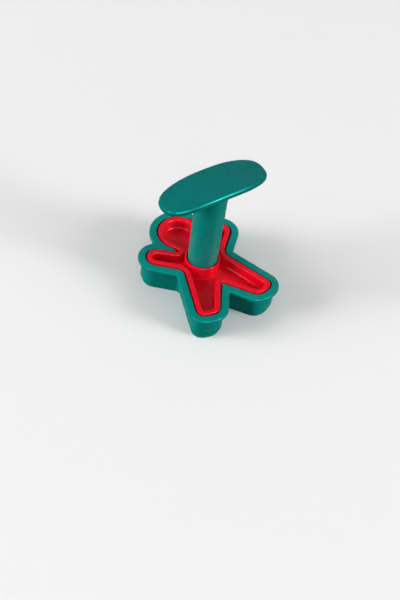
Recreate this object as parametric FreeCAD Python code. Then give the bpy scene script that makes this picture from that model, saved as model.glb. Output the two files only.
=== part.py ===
import FreeCAD, Part
import math
import os

# Cookie press: a gingerbread-figure cutter ring, a dished press plate that slides inside it, and a
# T-shaped handle whose stem plugs into a keyed collar on the plate. Millimetres, +Z up.
# Everything is drawn about the stem axis, and then moved so that the origin lies on the table at
# the middle of the tool's footprint. Z = 0 is the cutting edge, +Y points to the figure's head and
# the palm plate lies along X.

V = FreeCAD.Vector

# Outline of the press plate, seen from above. The left half mirrors the right half.
HEAD_RADIUS = 13.8
HEAD_Y = 26.55
CHEEK_SLOPE = 62.2           # degrees of the straight edge from the head down to the neck
ARM_TOP_SLOPE = 38.0         # degrees that the arm's top edge climbs from the neck to the hand
NECK_RADIUS = 1.15
HAND_RADIUS = 6.3
HAND_X = 24.6
HAND_Y = 15.45
ARM_UNDER_SLOPE = 42.43      # degrees that the arm's lower edge climbs from the armpit to the hand
ARM_UNDER_LENGTH = 18.9      # from the armpit's corner to where that edge meets the hand's round
ARMPIT_RADIUS = 6.0
FOOT_OUTER_X = 28.35
FOOT_OUTER_Y = -38.2
FOOT_INNER_X = 14.85
FOOT_INNER_Y = -41.9
FOOT_OUTER_RADIUS = 4.55
FOOT_INNER_RADIUS = 5.5
SOLE_BULGE = 1.55
SOLE_RADIUS = 13.0
CROTCH_Y = -21.4
CROTCH_RADIUS = 1.8
NOTCH_RADIUS = 0.6           # no outline drawn round this one has a sharper notch
TIP_RADIUS = 1.9             # no outline drawn inside it has a sharper tip

# Cutter ring
CUTTER_HEIGHT = 20.0
FLANGE_WIDTH = 4.85
FLANGE_THICK = 2.3
FLANGE_TOP_ROUND = 1.0
FLANGE_UNDER_ROUND = 0.5
OPENING_ROUND = 0.4
WALL_THICK = 1.95
BLADE_THICK = 0.7            # of the thin lower wall that cuts
BLADE_HEIGHT = 3.0
BLADE_BEVEL = 1.0            # 45 degree bevel from the blade out to the wall

# Press plate
PRESS_GAP = 0.95             # between the plate's side and the cutter's opening, all round
FACE_HEIGHT = 10.5           # flat underside above the cutting edge, with the ridges on a sheet of dough
PRESS_DEPTH = 10.2
FLOOR_THICK = 3.0
RIM_WIDTH = 3.35
DISH_ROUND = 1.7
RIM_OUTER_ROUND = 0.6
RIM_INNER_ROUND = 1.0
EMBOSS_HEIGHT = 2.4
BORDER_INSET = 1.3
RIDGE_WIDTH = 1.3
EYE_RADIUS = 1.3
EYE_X = 4.6
EYE_ABOVE_HEAD_CENTRE = 3.2
SMILE_RADIUS = 6.6
SMILE_HALF_ANGLE = 52.0
BUTTON_RADIUS = 1.7
BUTTON_PITCH = 9.0
BUTTON_COUNT = 3

# Collar and keyed post on the press plate
COLLAR_BORE_RADIUS = 10.05
COLLAR_WALL = 1.3
COLLAR_PROUD = 2.0           # above the rim
COLLAR_FOOT_ROUND = 0.9
POST_HEIGHT = 5.5
KEY_WIDTH = 2.2
KEY_REACH = 1.7              # each key stands this far out of the post

# Handle
STEM_CLEARANCE = 0.45        # of the stem's foot in the collar
STEM_DRAFT = 0.5             # the stem is this much wider in radius under the palm plate
STEM_WALL = 2.8
STEM_FLARE = 2.6
FOOT_CLEARANCE = 0.3
POST_CLEARANCE = 0.35
RING_GROOVE_DEPTH = 1.2
RING_GROOVE_HEIGHT = 2.2
RING_RUNNING_GAP = 0.03
RING_END_GAP = 0.1
RING_ROUND = 0.6
RING_BELOW_COLLAR_TOP = 3.7
HANDLE_HEIGHT = 89.5
PALM_LENGTH = 75.0
PALM_WIDTH = 27.6
PALM_THICK = 4.2
PALM_DROOP = 3.5             # how far the ends of the palm plate hang below its middle
PALM_SQUARENESS = 2.8        # superellipse exponent of its outline
PALM_TOP_ROUND = 2.4
PALM_UNDER_ROUND = 1.2
OUTLINE_POINTS = 32
BOSS_LENGTH = 12.0
BOSS_RADIUS = 6.2
BOSS_FIT = 0.05
WEB_THICK = 3.0

# Self-tapping screw that holds the palm plate on the stem, driven up through the stem's bore
SCREW_RADIUS = 2.0
SCREW_LENGTH = 13.0
PILOT_RADIUS = 1.7
SCREW_HOLE_RADIUS = 2.25
SCREW_HEAD_RADIUS = 3.9
SCREW_HEAD_HEIGHT = 2.6
SCREW_HEAD_ROUND = 0.8
RECESS_WIDTH = 1.0
RECESS_LENGTH = 4.2
RECESS_DEPTH = 1.4

# Worked out from the sizes above
RIM_TOP = FACE_HEIGHT + PRESS_DEPTH
DISH_FLOOR = FACE_HEIGHT + FLOOR_THICK
COLLAR_TOP = RIM_TOP + COLLAR_PROUD
FLANGE_OFFSET = PRESS_GAP + FLANGE_WIDTH
WALL_OFFSET = PRESS_GAP + WALL_THICK
BLADE_OFFSET = PRESS_GAP + BLADE_THICK
STEM_FOOT_Z = DISH_FLOOR + FOOT_CLEARANCE
STEM_FOOT_RADIUS = COLLAR_BORE_RADIUS - STEM_CLEARANCE
STEM_TOP_RADIUS = STEM_FOOT_RADIUS + STEM_DRAFT
STEM_BORE_RADIUS = STEM_FOOT_RADIUS - STEM_WALL
POST_RADIUS = STEM_BORE_RADIUS - POST_CLEARANCE
PALM_UNDER_Z = HANDLE_HEIGHT - PALM_THICK
BOSS_END_Z = PALM_UNDER_Z - BOSS_LENGTH
WEB_UNDER_Z = BOSS_END_Z - WEB_THICK
GROOVE_Z = COLLAR_TOP - RING_BELOW_COLLAR_TOP - RING_GROOVE_HEIGHT / 2


def direction(degrees):
    angle = math.radians(degrees)
    return V(math.cos(angle), math.sin(angle), 0)


def left_of(heading):
    return V(-heading.y, heading.x, 0)


def mirrored(point):
    return V(-point.x, point.y, point.z)


def corner_arc(before, corner, after, radius):
    """Start, middle and end of the arc that rounds a corner between two straight sides."""
    back, ahead = (before - corner).normalize(), (after - corner).normalize()
    half = back.getAngle(ahead) / 2
    inwards = (back + ahead).normalize()
    reach = radius / math.tan(half)
    middle = corner + inwards * (radius / math.sin(half) - radius)
    return corner + back * reach, middle, corner + ahead * reach


def crossing(p, u, q, v):
    """Where the line through p along u meets the line through q along v."""
    gap = q - p
    return p + u * ((gap.x * v.y - gap.y * v.x) / (u.x * v.y - u.y * v.x))


def figure_outline():
    """The figure's closed outline at Z = 0."""
    head, hand = V(0, HEAD_Y, 0), V(HAND_X, HAND_Y, 0)
    foot_outer, foot_inner = V(FOOT_OUTER_X, FOOT_OUTER_Y, 0), V(FOOT_INNER_X, FOOT_INNER_Y, 0)
    crotch = V(0, CROTCH_Y, 0)
    down_cheek, up_arm = direction(180 + CHEEK_SLOPE), direction(ARM_TOP_SLOPE)
    under_arm = direction(ARM_UNDER_SLOPE)
    cheek = head + left_of(down_cheek) * HEAD_RADIUS
    hand_top = hand + left_of(up_arm) * HAND_RADIUS
    neck = crossing(cheek, down_cheek, hand_top, up_arm)
    hand_under = hand - left_of(under_arm) * HAND_RADIUS
    armpit = hand_under - under_arm * ARM_UNDER_LENGTH
    fingertip = hand + (up_arm + under_arm).normalize() * HAND_RADIUS
    sole_out = left_of((foot_inner - foot_outer).normalize())
    sole = (foot_outer + foot_inner) * 0.5 + sole_out * SOLE_BULGE
    right = [
        corner_arc(cheek, neck, hand_top, NECK_RADIUS),
        (hand_top, fingertip, hand_under),
        corner_arc(hand_under, armpit, foot_outer, ARMPIT_RADIUS),
        corner_arc(armpit, foot_outer, sole, FOOT_OUTER_RADIUS),
        corner_arc(foot_outer, sole, foot_inner, SOLE_RADIUS),
        corner_arc(sole, foot_inner, crotch, FOOT_INNER_RADIUS),
    ]
    left = [tuple(mirrored(p) for p in reversed(arc)) for arc in reversed(right)]
    crown = (mirrored(cheek), V(0, HEAD_Y + HEAD_RADIUS, 0), cheek)
    between_legs = corner_arc(foot_inner, crotch, mirrored(foot_inner), CROTCH_RADIUS)
    arcs = [crown] + right + [between_legs] + left
    edges = []
    for arc, following in zip(arcs, arcs[1:] + arcs[:1]):
        edges.append(Part.Arc(*arc).toShape())
        if arc[2].distanceToPoint(following[0]) > 1e-6:
            edges.append(Part.LineSegment(arc[2], following[0]).toShape())
    return Part.Wire(edges)


def figure_wire(offset, z):
    """The figure's outline, moved outwards by offset, at height z."""
    wire = figure_outline()
    if offset > 0:
        wire = wire.makeOffset2D(offset + NOTCH_RADIUS).makeOffset2D(-NOTCH_RADIUS)
    elif offset < 0:
        wire = wire.makeOffset2D(offset - TIP_RADIUS).makeOffset2D(TIP_RADIUS)
    wire.translate(V(0, 0, z))
    return wire


def figure_prism(offset, z_low, z_high):
    return Part.Face(figure_wire(offset, z_low)).extrude(V(0, 0, z_high - z_low))


def cylinder(radius, z_low, z_high, x=0, y=0):
    return Part.makeCylinder(radius, z_high - z_low, V(x, y, z_low))


def centred_box(length, width, z_low, z_high):
    return Part.makeBox(length, width, z_high - z_low, V(-length / 2, -width / 2, z_low))


def edges_at(shape, z):
    """The edges that lie in the plane at height z."""
    return [e for e in shape.Edges if abs(e.BoundBox.ZMin - z) < 1e-4 and abs(e.BoundBox.ZMax - z) < 1e-4]


def edges_along(shape, offset, z):
    """The edges at height z that follow the figure's outline moved outwards by offset."""
    line = figure_wire(offset, z)
    found = []
    for edge in edges_at(shape, z):
        middle = edge.valueAt((edge.FirstParameter + edge.LastParameter) / 2)
        if line.distToShape(Part.Vertex(middle))[0] < 0.1:
            found.append(edge)
    return found


def revolved(points):
    """A solid turned about the Z axis from a closed profile of (radius, height) points."""
    outline = [V(radius, 0, z) for radius, z in points]
    return Part.Face(Part.makePolygon(outline + outline[:1])).revolve(V(0, 0, 0), V(0, 0, 1), 360)


def make_cutter_ring():
    under = CUTTER_HEIGHT - FLANGE_THICK
    flange = figure_prism(FLANGE_OFFSET, under, CUTTER_HEIGHT)
    flange = flange.makeFillet(FLANGE_TOP_ROUND, edges_at(flange, CUTTER_HEIGHT))
    flange = flange.makeFillet(FLANGE_UNDER_ROUND, edges_at(flange, under))
    wall = figure_prism(WALL_OFFSET, BLADE_HEIGHT, under)
    wall = wall.makeChamfer(BLADE_BEVEL, edges_at(wall, BLADE_HEIGHT))
    blade = figure_prism(BLADE_OFFSET, 0, under)
    opening = figure_prism(PRESS_GAP, -1, CUTTER_HEIGHT + 1)
    ring = flange.fuse([wall, blade]).cut(opening).removeSplitter()
    return ring.makeFillet(OPENING_ROUND, edges_along(ring, PRESS_GAP, CUTTER_HEIGHT))


def make_emboss():
    """Raised lines under the plate that print a border, a face, buttons and cuffs."""
    low, high = FACE_HEIGHT - EMBOSS_HEIGHT, FACE_HEIGHT + FLOOR_THICK / 2
    border = figure_prism(-BORDER_INSET, low, high)
    border = border.cut(figure_prism(-BORDER_INSET - RIDGE_WIDTH, low - 1, high + 1))
    marks = [border]
    for sign in (-1, 1):
        marks.append(cylinder(EYE_RADIUS, low, high, sign * EYE_X, HEAD_Y + EYE_ABOVE_HEAD_CENTRE))
    marks.append(smile_ridge(low, high))
    for index in range(BUTTON_COUNT):
        y = (1 - index) * BUTTON_PITCH
        marks.append(cylinder(BUTTON_RADIUS, low, high, 0, y))
    return marks


def smile_ridge(low, high):
    centre = V(0, HEAD_Y, 0)
    inner, outer = SMILE_RADIUS, SMILE_RADIUS + RIDGE_WIDTH
    middle = SMILE_RADIUS + RIDGE_WIDTH / 2
    left, right = direction(270 - SMILE_HALF_ANGLE), direction(270 + SMILE_HALF_ANGLE)
    down = direction(270)
    cap = RIDGE_WIDTH / 2
    cap_right = centre + right * middle + left_of(right) * cap
    cap_left = centre + left * middle - left_of(left) * cap
    edges = [
        Part.Arc(centre + left * outer, centre + down * outer, centre + right * outer).toShape(),
        Part.Arc(centre + right * outer, cap_right, centre + right * inner).toShape(),
        Part.Arc(centre + right * inner, centre + down * inner, centre + left * inner).toShape(),
        Part.Arc(centre + left * inner, cap_left, centre + left * outer).toShape(),
    ]
    face = Part.Face(Part.Wire(edges))
    face.translate(V(0, 0, low))
    return face.extrude(V(0, 0, high - low))


def make_collar():
    inner, outer = COLLAR_BORE_RADIUS, COLLAR_BORE_RADIUS + COLLAR_WALL
    tube = cylinder(outer, DISH_FLOOR - FLOOR_THICK / 2, COLLAR_TOP)
    tube = tube.cut(cylinder(inner, DISH_FLOOR, COLLAR_TOP + 1))
    lip = COLLAR_WALL * 0.4
    tube = tube.makeFillet(lip, edges_at(tube, COLLAR_TOP))
    foot = COLLAR_FOOT_ROUND
    flare = revolved([(inner, DISH_FLOOR - FLOOR_THICK / 2), (outer + foot, DISH_FLOOR - FLOOR_THICK / 2),
                      (outer + foot, DISH_FLOOR), (outer + foot * 0.3, DISH_FLOOR + foot * 0.3),
                      (outer, DISH_FLOOR + foot), (inner, DISH_FLOOR + foot)])
    return tube.fuse(flare)


def make_post():
    top = DISH_FLOOR + POST_HEIGHT
    base = DISH_FLOOR - FLOOR_THICK / 2
    keys = centred_box(2 * (POST_RADIUS + KEY_REACH), KEY_WIDTH, base, top)
    return cylinder(POST_RADIUS, base, top).fuse(keys)


def make_press_plate():
    plate = figure_prism(0, FACE_HEIGHT, RIM_TOP)
    core = figure_prism(-RIM_WIDTH, DISH_FLOOR, RIM_TOP)
    core = core.makeFillet(DISH_ROUND, edges_at(core, DISH_FLOOR))
    plate = plate.cut(core)
    plate = plate.makeFillet(RIM_OUTER_ROUND, edges_along(plate, 0, RIM_TOP))
    plate = plate.makeFillet(RIM_INNER_ROUND, edges_along(plate, -RIM_WIDTH, RIM_TOP))
    plate = plate.fuse([make_collar(), make_post()] + make_emboss())
    return plate.removeSplitter()


def palm_bend():
    """Radius of the palm plate's arched top, which droops by PALM_DROOP at its ends."""
    return (PALM_LENGTH ** 2 / 4 + PALM_DROOP ** 2) / (2 * PALM_DROOP)


def palm_bend_centre_z():
    return HANDLE_HEIGHT - palm_bend()


def bend_arc(radius):
    """An arc about the bend's centre, wider than the palm plate, in the XZ plane."""
    reach = PALM_LENGTH * 0.6
    rise = math.sqrt(radius ** 2 - reach ** 2)
    centre = V(0, -PALM_WIDTH, palm_bend_centre_z())
    return centre + V(-reach, 0, rise), centre + V(0, 0, radius), centre + V(reach, 0, rise)


def make_palm_plate():
    top, under = bend_arc(palm_bend()), bend_arc(palm_bend() - PALM_THICK)
    edges = [Part.Arc(*top).toShape(), Part.LineSegment(top[2], under[2]).toShape(),
             Part.Arc(*under).toShape(), Part.LineSegment(under[0], top[0]).toShape()]
    arch = Part.Face(Part.Wire(edges)).extrude(V(0, 2 * PALM_WIDTH, 0))
    plate = arch.common(palm_outline_prism())
    plate = plate.makeFillet(PALM_TOP_ROUND, edges_on_bend(plate, palm_bend()))
    plate = plate.makeFillet(PALM_UNDER_ROUND, edges_on_bend(plate, palm_bend() - PALM_THICK))
    boss = cylinder(BOSS_RADIUS, BOSS_END_Z, PALM_UNDER_Z + PALM_THICK / 2)
    pilot = cylinder(PILOT_RADIUS, BOSS_END_Z - 1, WEB_UNDER_Z + SCREW_LENGTH + 1)
    return plate.fuse(boss).cut(pilot).removeSplitter()


def edges_on_bend(shape, radius):
    """The edges whose ends and middle lie on the bend's cylinder of that radius."""
    found = []
    for edge in shape.Edges:
        first, last = edge.FirstParameter, edge.LastParameter
        points = [edge.valueAt(first + (last - first) * share) for share in (0.1, 0.5, 0.9)]
        if all(abs(math.hypot(p.x, p.z - palm_bend_centre_z()) - radius) < 1e-3 for p in points):
            found.append(edge)
    return found


def palm_outline_prism():
    power = 2 / PALM_SQUARENESS
    points = []
    for index in range(OUTLINE_POINTS):
        around = direction(360 * (index + 0.5) / OUTLINE_POINTS)
        x = math.copysign(abs(around.x) ** power, around.x) * PALM_LENGTH / 2
        y = math.copysign(abs(around.y) ** power, around.y) * PALM_WIDTH / 2
        points.append(V(x, y, HANDLE_HEIGHT - 4 * (PALM_DROOP + PALM_THICK)))
    curve = Part.BSplineCurve()
    curve.interpolate(Points=points, PeriodicFlag=True)
    return Part.Face(Part.Wire(curve.toShape())).extrude(V(0, 0, 8 * (PALM_DROOP + PALM_THICK)))


def make_handle_stem(palm_plate):
    flare_z = PALM_UNDER_Z - STEM_FLARE
    core = revolved([(0, STEM_FOOT_Z), (STEM_FOOT_RADIUS, STEM_FOOT_Z),
                     (STEM_FOOT_RADIUS, COLLAR_TOP), (STEM_TOP_RADIUS, flare_z), (0, flare_z)])
    core = core.makeFillet(1.0, edges_at(core, STEM_FOOT_Z))
    top = HANDLE_HEIGHT - PALM_THICK / 2
    flare_low, flare_high = STEM_TOP_RADIUS, STEM_TOP_RADIUS + STEM_FLARE
    bow = V(flare_low + STEM_FLARE * (1 - math.sqrt(0.5)), 0, flare_z + STEM_FLARE * math.sqrt(0.5))
    start, end = V(flare_low, 0, flare_z), V(flare_high, 0, flare_z + STEM_FLARE)
    rest = [end, V(flare_high, 0, top), V(0, 0, top), V(0, 0, flare_z), start]
    edges = [Part.Arc(start, bow, end).toShape()]
    edges += [Part.LineSegment(a, b).toShape() for a, b in zip(rest, rest[1:])]
    head = Part.Face(Part.Wire(edges)).revolve(V(0, 0, 0), V(0, 0, 1), 360)
    stem = core.fuse(head)
    stem = stem.cut(cylinder(STEM_BORE_RADIUS, STEM_FOOT_Z - 1, WEB_UNDER_Z))
    stem = stem.cut(cylinder(BOSS_RADIUS + BOSS_FIT, BOSS_END_Z, HANDLE_HEIGHT))
    stem = stem.cut(cylinder(SCREW_HOLE_RADIUS, WEB_UNDER_Z - 1, BOSS_END_Z + 1))
    groove = cylinder(STEM_FOOT_RADIUS + 1, GROOVE_Z, GROOVE_Z + RING_GROOVE_HEIGHT)
    groove = groove.cut(cylinder(STEM_FOOT_RADIUS - RING_GROOVE_DEPTH, GROOVE_Z - 1, COLLAR_TOP))
    key_slot_top = DISH_FLOOR + POST_HEIGHT + FOOT_CLEARANCE
    key_slot_length = 2 * (POST_RADIUS + KEY_REACH + POST_CLEARANCE)
    key_slots = centred_box(key_slot_length, KEY_WIDTH + POST_CLEARANCE, STEM_FOOT_Z - 1, key_slot_top)
    return stem.cut([groove, key_slots, palm_plate]).removeSplitter()


def make_grip_ring():
    """Silicone ring in the stem's groove, drawn at the size it has when squeezed in the collar."""
    outer = COLLAR_BORE_RADIUS - RING_RUNNING_GAP
    low, high = GROOVE_Z + RING_END_GAP, GROOVE_Z + RING_GROOVE_HEIGHT - RING_END_GAP
    ring = cylinder(outer, low, high)
    ring = ring.makeFillet(RING_ROUND, edges_at(ring, low) + edges_at(ring, high))
    return ring.cut(cylinder(STEM_FOOT_RADIUS - RING_GROOVE_DEPTH, low - 1, high + 1))


def make_palm_screw():
    shank = cylinder(SCREW_RADIUS, WEB_UNDER_Z, WEB_UNDER_Z + SCREW_LENGTH)
    shank = shank.makeChamfer(SCREW_RADIUS / 2, edges_at(shank, WEB_UNDER_Z + SCREW_LENGTH))
    head_low = WEB_UNDER_Z - SCREW_HEAD_HEIGHT
    head = cylinder(SCREW_HEAD_RADIUS, head_low, WEB_UNDER_Z)
    head = head.makeFillet(SCREW_HEAD_ROUND, edges_at(head, head_low))
    slots = [centred_box(RECESS_LENGTH, RECESS_WIDTH, head_low - 1, head_low + RECESS_DEPTH),
             centred_box(RECESS_WIDTH, RECESS_LENGTH, head_low - 1, head_low + RECESS_DEPTH)]
    return head.fuse(shank).cut(slots).removeSplitter()


def footprint_middle():
    """Y of the middle of the flange's outline, from the stem axis."""
    box = figure_wire(FLANGE_OFFSET, 0).BoundBox
    return (box.YMin + box.YMax) / 2


def main():
    os.makedirs("parts", exist_ok=True)
    palm_plate = make_palm_plate()
    parts = {
        "cutter_ring": make_cutter_ring(),
        "press_plate": make_press_plate(),
        "handle_stem": make_handle_stem(palm_plate),
        "palm_plate": palm_plate,
        "palm_screw": make_palm_screw(),
        "grip_ring": make_grip_ring(),
    }
    to_origin = V(0, -footprint_middle(), 0)
    print("stem axis at y", round(to_origin.y, 3))
    for name, shape in parts.items():
        shape.translate(to_origin)
        box = shape.BoundBox
        print(name, "solids", len(shape.Solids), "valid", shape.isValid(), "volume", round(shape.Volume, 1),
              "x", round(box.XMin, 2), round(box.XMax, 2), "y", round(box.YMin, 2), round(box.YMax, 2),
              "z", round(box.ZMin, 2), round(box.ZMax, 2))
        shape.exportStep("parts/" + name + ".step")


main()
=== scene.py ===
import math

import bpy
from mathutils import Matrix, Vector


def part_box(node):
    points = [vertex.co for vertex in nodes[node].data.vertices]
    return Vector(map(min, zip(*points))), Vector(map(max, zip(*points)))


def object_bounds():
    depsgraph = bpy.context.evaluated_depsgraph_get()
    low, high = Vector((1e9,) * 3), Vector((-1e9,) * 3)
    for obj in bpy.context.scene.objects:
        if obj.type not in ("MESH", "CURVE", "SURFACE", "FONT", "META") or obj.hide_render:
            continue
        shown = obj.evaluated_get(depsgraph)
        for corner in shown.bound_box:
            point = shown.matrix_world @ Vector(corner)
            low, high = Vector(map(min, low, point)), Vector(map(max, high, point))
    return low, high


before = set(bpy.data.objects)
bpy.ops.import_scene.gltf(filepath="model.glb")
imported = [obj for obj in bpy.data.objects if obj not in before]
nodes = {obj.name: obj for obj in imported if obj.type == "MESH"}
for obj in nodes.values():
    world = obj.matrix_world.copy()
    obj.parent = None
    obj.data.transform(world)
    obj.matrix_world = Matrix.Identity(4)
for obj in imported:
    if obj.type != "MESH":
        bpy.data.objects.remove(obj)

cad_low, cad_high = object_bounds()
MM = 0.001
scene = bpy.context.scene

# ---------------------------------------------------------------- camera
# It looks down on the tool from beyond the figure's left foot, rolled so that uprights lean right.
CAMERA_HEADING = math.radians(40.46)     # of the view direction, clockwise from +Y
CAMERA_TILT = math.radians(48.3)         # below the horizontal
CAMERA_ROLL = math.radians(9.05)
CAMERA_DISTANCE = 1.1
CAMERA_LENS = 102.96                     # on a 36 mm sensor along the picture's longer side
AIM_BEYOND_STEM = 5.5 * MM               # the camera is aimed from a point over the figure's chest,
AIM_ABOVE_RING = 0.7 * MM
AIM_RIGHT = 1.54 * MM                    # moved by these in the picture's own directions
AIM_UP = -30.2 * MM


def make_camera():
    sin_h, cos_h = math.sin(CAMERA_HEADING), math.cos(CAMERA_HEADING)
    sin_t, cos_t = math.sin(CAMERA_TILT), math.cos(CAMERA_TILT)
    forward = Vector((sin_h * cos_t, cos_h * cos_t, -sin_t))
    level = Vector((cos_h, -sin_h, 0))
    above = Vector((sin_h * sin_t, cos_h * sin_t, cos_t))
    right = level * math.cos(CAMERA_ROLL) + above * math.sin(CAMERA_ROLL)
    up = above * math.cos(CAMERA_ROLL) - level * math.sin(CAMERA_ROLL)
    ring_low, ring_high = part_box("cutter_ring")
    stem_low, stem_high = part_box("handle_stem")
    beyond_stem = Vector((0, (stem_low.y + stem_high.y) / 2 + AIM_BEYOND_STEM, ring_high.z + AIM_ABOVE_RING))
    aim = beyond_stem + right * AIM_RIGHT + up * AIM_UP
    data = bpy.data.cameras.new("camera")
    data.lens = CAMERA_LENS
    data.sensor_width = 36
    data.clip_start = 0.05
    camera = bpy.data.objects.new("camera", data)
    scene.collection.objects.link(camera)
    turn = Matrix((right, up, -forward)).transposed().to_4x4()
    camera.matrix_world = Matrix.Translation(aim - forward * CAMERA_DISTANCE) @ turn
    scene.camera = camera


# ---------------------------------------------------------------- materials
PLASTIC_IOR = 1.49
PLASTIC_SPECULAR = 0.6
PLASTIC_ROUGHNESS = 0.28
ROUGHNESS_SPREAD = 0.03
NOISE_LOW, NOISE_HIGH = 0.3, 0.7         # nearly all of a noise's values lie between these
MOTTLE_SCALE = 55                        # of the noises, in repeats per metre
GLOSS_SCALE = 160
GRAIN_SCALE = 4200
GRAIN_STRENGTH = 0.12
GRAIN_DEPTH = 0.03 * MM
FITTING_SCALE = 700
GREEN_GLINT = (0.05, 1, 0.9, 1)
RED_GLINT = (1, 0.3, 0.4, 1)


def srgb(red, green, blue):
    """A colour given in sRGB, 0 to 255, as the linear one that a shader takes."""
    def linear(value):
        value /= 255
        return value / 12.92 if value <= 0.04045 else ((value + 0.055) / 1.055) ** 2.4
    return linear(red), linear(green), linear(blue), 1.0


def new_material(name):
    """A material with its node tree and its shader."""
    material = bpy.data.materials.new(name)
    material.use_nodes = True
    return material, material.node_tree, material.node_tree.nodes["Principled BSDF"]


def noise(tree, place, scale, detail):
    node = tree.nodes.new("ShaderNodeTexNoise")
    node.inputs["Scale"].default_value = scale
    node.inputs["Detail"].default_value = detail
    tree.links.new(place.outputs["Object"], node.inputs["Vector"])
    return node.outputs["Fac"]


def moulded_plastic(name, base, lighter, glint):
    """Satin moulded plastic: a faint mottle in colour, uneven gloss and a fine spark-eroded grain."""
    material, tree, shader = new_material(name)
    shader.inputs["IOR"].default_value = PLASTIC_IOR
    shader.inputs["Specular IOR Level"].default_value = PLASTIC_SPECULAR
    shader.inputs["Specular Tint"].default_value = glint
    place = tree.nodes.new("ShaderNodeTexCoord")

    mottle = tree.nodes.new("ShaderNodeValToRGB")
    first, last = mottle.color_ramp.elements
    first.position, last.position = NOISE_LOW, NOISE_HIGH
    first.color, last.color = base, lighter
    tree.links.new(noise(tree, place, MOTTLE_SCALE, 3), mottle.inputs["Fac"])
    tree.links.new(mottle.outputs["Color"], shader.inputs["Base Color"])

    gloss = tree.nodes.new("ShaderNodeMapRange")
    gloss.inputs["From Min"].default_value = NOISE_LOW
    gloss.inputs["From Max"].default_value = NOISE_HIGH
    gloss.inputs["To Min"].default_value = PLASTIC_ROUGHNESS - ROUGHNESS_SPREAD
    gloss.inputs["To Max"].default_value = PLASTIC_ROUGHNESS + ROUGHNESS_SPREAD
    tree.links.new(noise(tree, place, GLOSS_SCALE, 4), gloss.inputs["Value"])
    tree.links.new(gloss.outputs["Result"], shader.inputs["Roughness"])

    grain = tree.nodes.new("ShaderNodeBump")
    grain.inputs["Strength"].default_value = GRAIN_STRENGTH
    grain.inputs["Distance"].default_value = GRAIN_DEPTH
    tree.links.new(noise(tree, place, GRAIN_SCALE, 2), grain.inputs["Height"])
    tree.links.new(grain.outputs["Normal"], shader.inputs["Normal"])
    return material


def plain_finish(name, base, lighter, metallic, low_roughness, high_roughness):
    """A small fitting's surface: blotches of two near shades and of two near roughnesses."""
    material, tree, shader = new_material(name)
    shader.inputs["Metallic"].default_value = metallic
    place = tree.nodes.new("ShaderNodeTexCoord")
    blotches = noise(tree, place, FITTING_SCALE, 2)
    shade = tree.nodes.new("ShaderNodeMix")
    shade.data_type = "RGBA"
    shade.inputs["A"].default_value = base
    shade.inputs["B"].default_value = lighter
    tree.links.new(blotches, shade.inputs["Factor"])
    tree.links.new(shade.outputs["Result"], shader.inputs["Base Color"])
    finish = tree.nodes.new("ShaderNodeMapRange")
    finish.inputs["To Min"].default_value = low_roughness
    finish.inputs["To Max"].default_value = high_roughness
    tree.links.new(blotches, finish.inputs["Value"])
    tree.links.new(finish.outputs["Result"], shader.inputs["Roughness"])
    return material


def dress(node, material):
    mesh = nodes[node].data
    mesh.materials.clear()
    mesh.materials.append(material)


# ---------------------------------------------------------------- room and light
FLOOR_SIZE = 8                           # metres, as the lights' distance
FLOOR_ROUGHNESS = 0.9
LIGHT_DISTANCE = 4.0
LIGHT_TARGET = Vector((0, 0, 0.03))
HORIZON_BRIGHTNESS = 0.1                 # of the room's own light, there and below
ZENITH_BRIGHTNESS = 0.6


def make_floor():
    bpy.ops.mesh.primitive_plane_add(size=FLOOR_SIZE)
    floor = bpy.context.object
    floor.name = "studio_floor"
    floor.location.z = cad_low[2]
    material, _, shader = new_material("studio_floor")
    shader.inputs["Base Color"].default_value = srgb(220, 220, 220)
    shader.inputs["Roughness"].default_value = FLOOR_ROUGHNESS
    floor.data.materials.append(material)
    floor.visible_diffuse = False        # the white floor throws no light back up at the tool
    floor.visible_glossy = False


def area_light(name, around, above, width, height, irradiance):
    """A soft light aimed at the tool.

    around is the angle in degrees from the camera's side of the tool, positive towards the picture's
    left, above is the one from the horizontal, and irradiance is what falls on a surface that faces it.
    """
    turn = CAMERA_HEADING + math.pi + math.radians(around)
    above = math.radians(above)
    level = Vector((math.sin(turn), math.cos(turn), 0))
    way = level * math.cos(above) + Vector((0, 0, math.sin(above)))
    data = bpy.data.lights.new(name, "AREA")
    data.shape = "RECTANGLE"
    data.size = width
    data.size_y = height
    data.energy = irradiance * math.pi * LIGHT_DISTANCE ** 2
    light = bpy.data.objects.new(name, data)
    light.location = LIGHT_TARGET + way * LIGHT_DISTANCE
    light.rotation_euler = (-way).to_track_quat("-Z", "Y").to_euler()
    scene.collection.objects.link(light)
    return light


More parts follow.
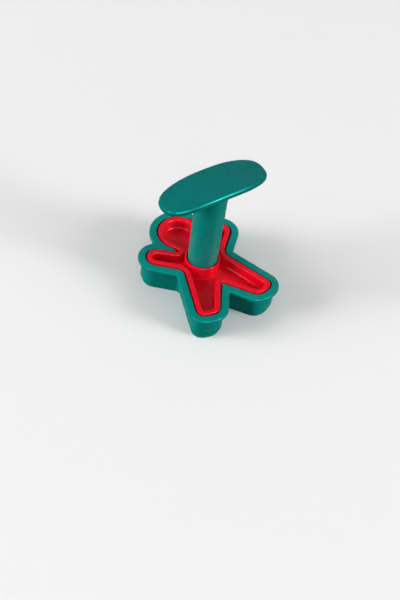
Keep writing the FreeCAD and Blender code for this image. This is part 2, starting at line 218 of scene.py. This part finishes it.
def make_world():
    """A plain sky that brightens from the horizon up."""
    world = bpy.data.worlds.new("studio")
    world.use_nodes = True
    tree = world.node_tree
    direction = tree.nodes.new("ShaderNodeTexCoord")
    parts = tree.nodes.new("ShaderNodeSeparateXYZ")
    sky = tree.nodes.new("ShaderNodeMapRange")
    sky.inputs["To Min"].default_value = HORIZON_BRIGHTNESS
    sky.inputs["To Max"].default_value = ZENITH_BRIGHTNESS
    tree.links.new(direction.outputs["Generated"], parts.inputs["Vector"])
    tree.links.new(parts.outputs["Z"], sky.inputs["Value"])
    tree.links.new(sky.outputs["Result"], tree.nodes["Background"].inputs["Strength"])
    tree.nodes["Background"].inputs["Color"].default_value = (1, 1, 1, 1)
    scene.world = world


def make_lights():
    low_keys = [area_light("key_left", 71, 18, 2.0, 2.0, 4.7),
                area_light("key_right", -76, 18, 1.6, 1.6, 3.6)]
    glints = [area_light("glint_right", -70, 32, 1.2, 1.8, 3.4),
              area_light("glint_front", -20, 28, 2.0, 1.0, 3.4),
              area_light("glint_left", 40, 28, 1.2, 0.9, 1.9)]
    for light in low_keys:
        light.visible_glossy = False         # so that they leave no glare on the flat tops
    for light in glints:
        light.visible_diffuse = False        # so that they only catch the rounded edges


make_camera()
green = moulded_plastic("green_plastic", srgb(0, 114, 106), srgb(0, 119, 111), GREEN_GLINT)
green_handle = moulded_plastic("green_handle_plastic", srgb(0, 95, 91), srgb(0, 99, 95), GREEN_GLINT)
red = moulded_plastic("red_plastic", srgb(206, 2, 26), srgb(212, 4, 30), RED_GLINT)
steel = plain_finish("steel_screw", srgb(186, 187, 189), srgb(206, 207, 209), 1.0, 0.22, 0.36)
silicone = plain_finish("silicone_ring", srgb(38, 38, 39), srgb(50, 50, 51), 0.0, 0.5, 0.66)
dress("cutter_ring", green)
dress("press_plate", red)
# painted light: the stem takes the cutter's lighter green instead of the darker handle green that the palm
# plate keeps, standing in for the brighter light on the stem's sides; stem and palm plate are one plastic
dress("handle_stem", green)
dress("palm_plate", green_handle)
dress("palm_screw", steel)
dress("grip_ring", silicone)
make_floor()
make_world()
make_lights()
scene.view_settings.view_transform = "Standard"
